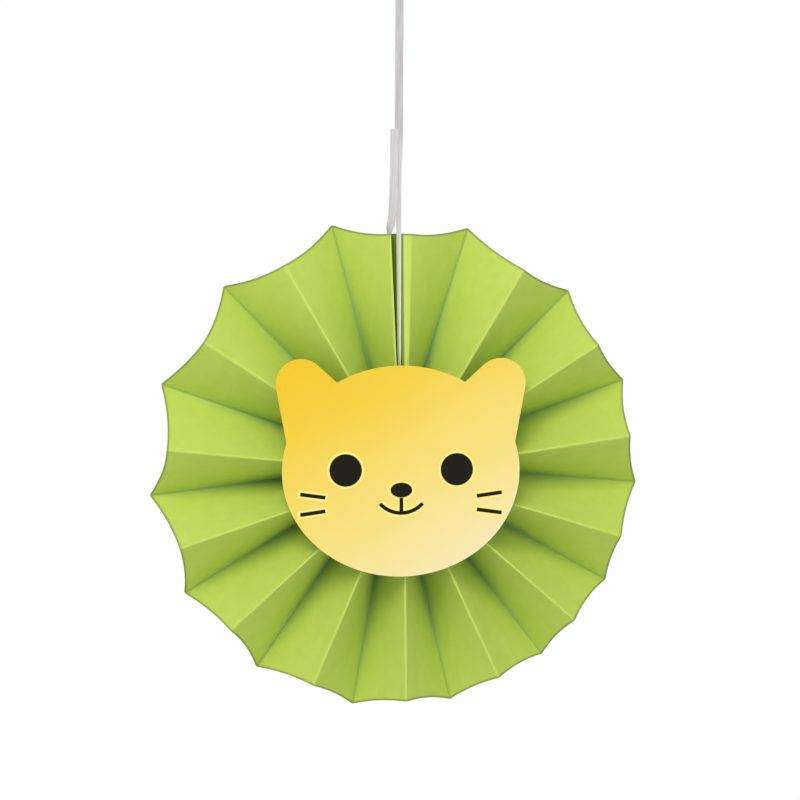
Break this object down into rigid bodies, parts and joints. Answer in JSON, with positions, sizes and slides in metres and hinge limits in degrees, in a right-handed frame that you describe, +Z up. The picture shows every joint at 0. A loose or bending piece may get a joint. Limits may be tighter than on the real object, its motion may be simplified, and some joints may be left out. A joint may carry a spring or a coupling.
{
  "type": "paper fan rosette",
  "caption": "Round pleated paper fan that hangs by a ribbon, with a flat die-cut cat-head card on its front.",
  "frame": {"origin": "inside the top of the ribbon's loop, where a hook carries the fan", "axes": "+Z up along the hanging ribbon, -Y towards the viewer, the way the face card looks, +X to the viewer's right"},
  "size_m": [0.2985, 0.0525, 0.4681],
  "materials": {
    "green_paper": "matte coloured craft paper, lime green",
    "backing_card": "plain green card",
    "yellow_card": "smooth printed card, golden yellow fading to pale cream",
    "pale_print": "pale yellow print",
    "dark_print": "black print",
    "ribbon": "thin translucent white ribbon",
    "foam": "white adhesive foam",
    "tape": "clear double-sided film tape"
  },
  "bodies": {
    "root": {"pleated_fan": "green_paper", "back_disc": "backing_card", "back_tape": "tape", "foam_pad": "foam", "face_card": "yellow_card", "print_halo": "pale_print", "face_print": "dark_print", "hanging_ribbon": "ribbon", "seam_tape": "foam", "ribbon_tail": "ribbon", "tail_tape": "tape", "join_tape": "tape"}
  },
  "joints": []
}
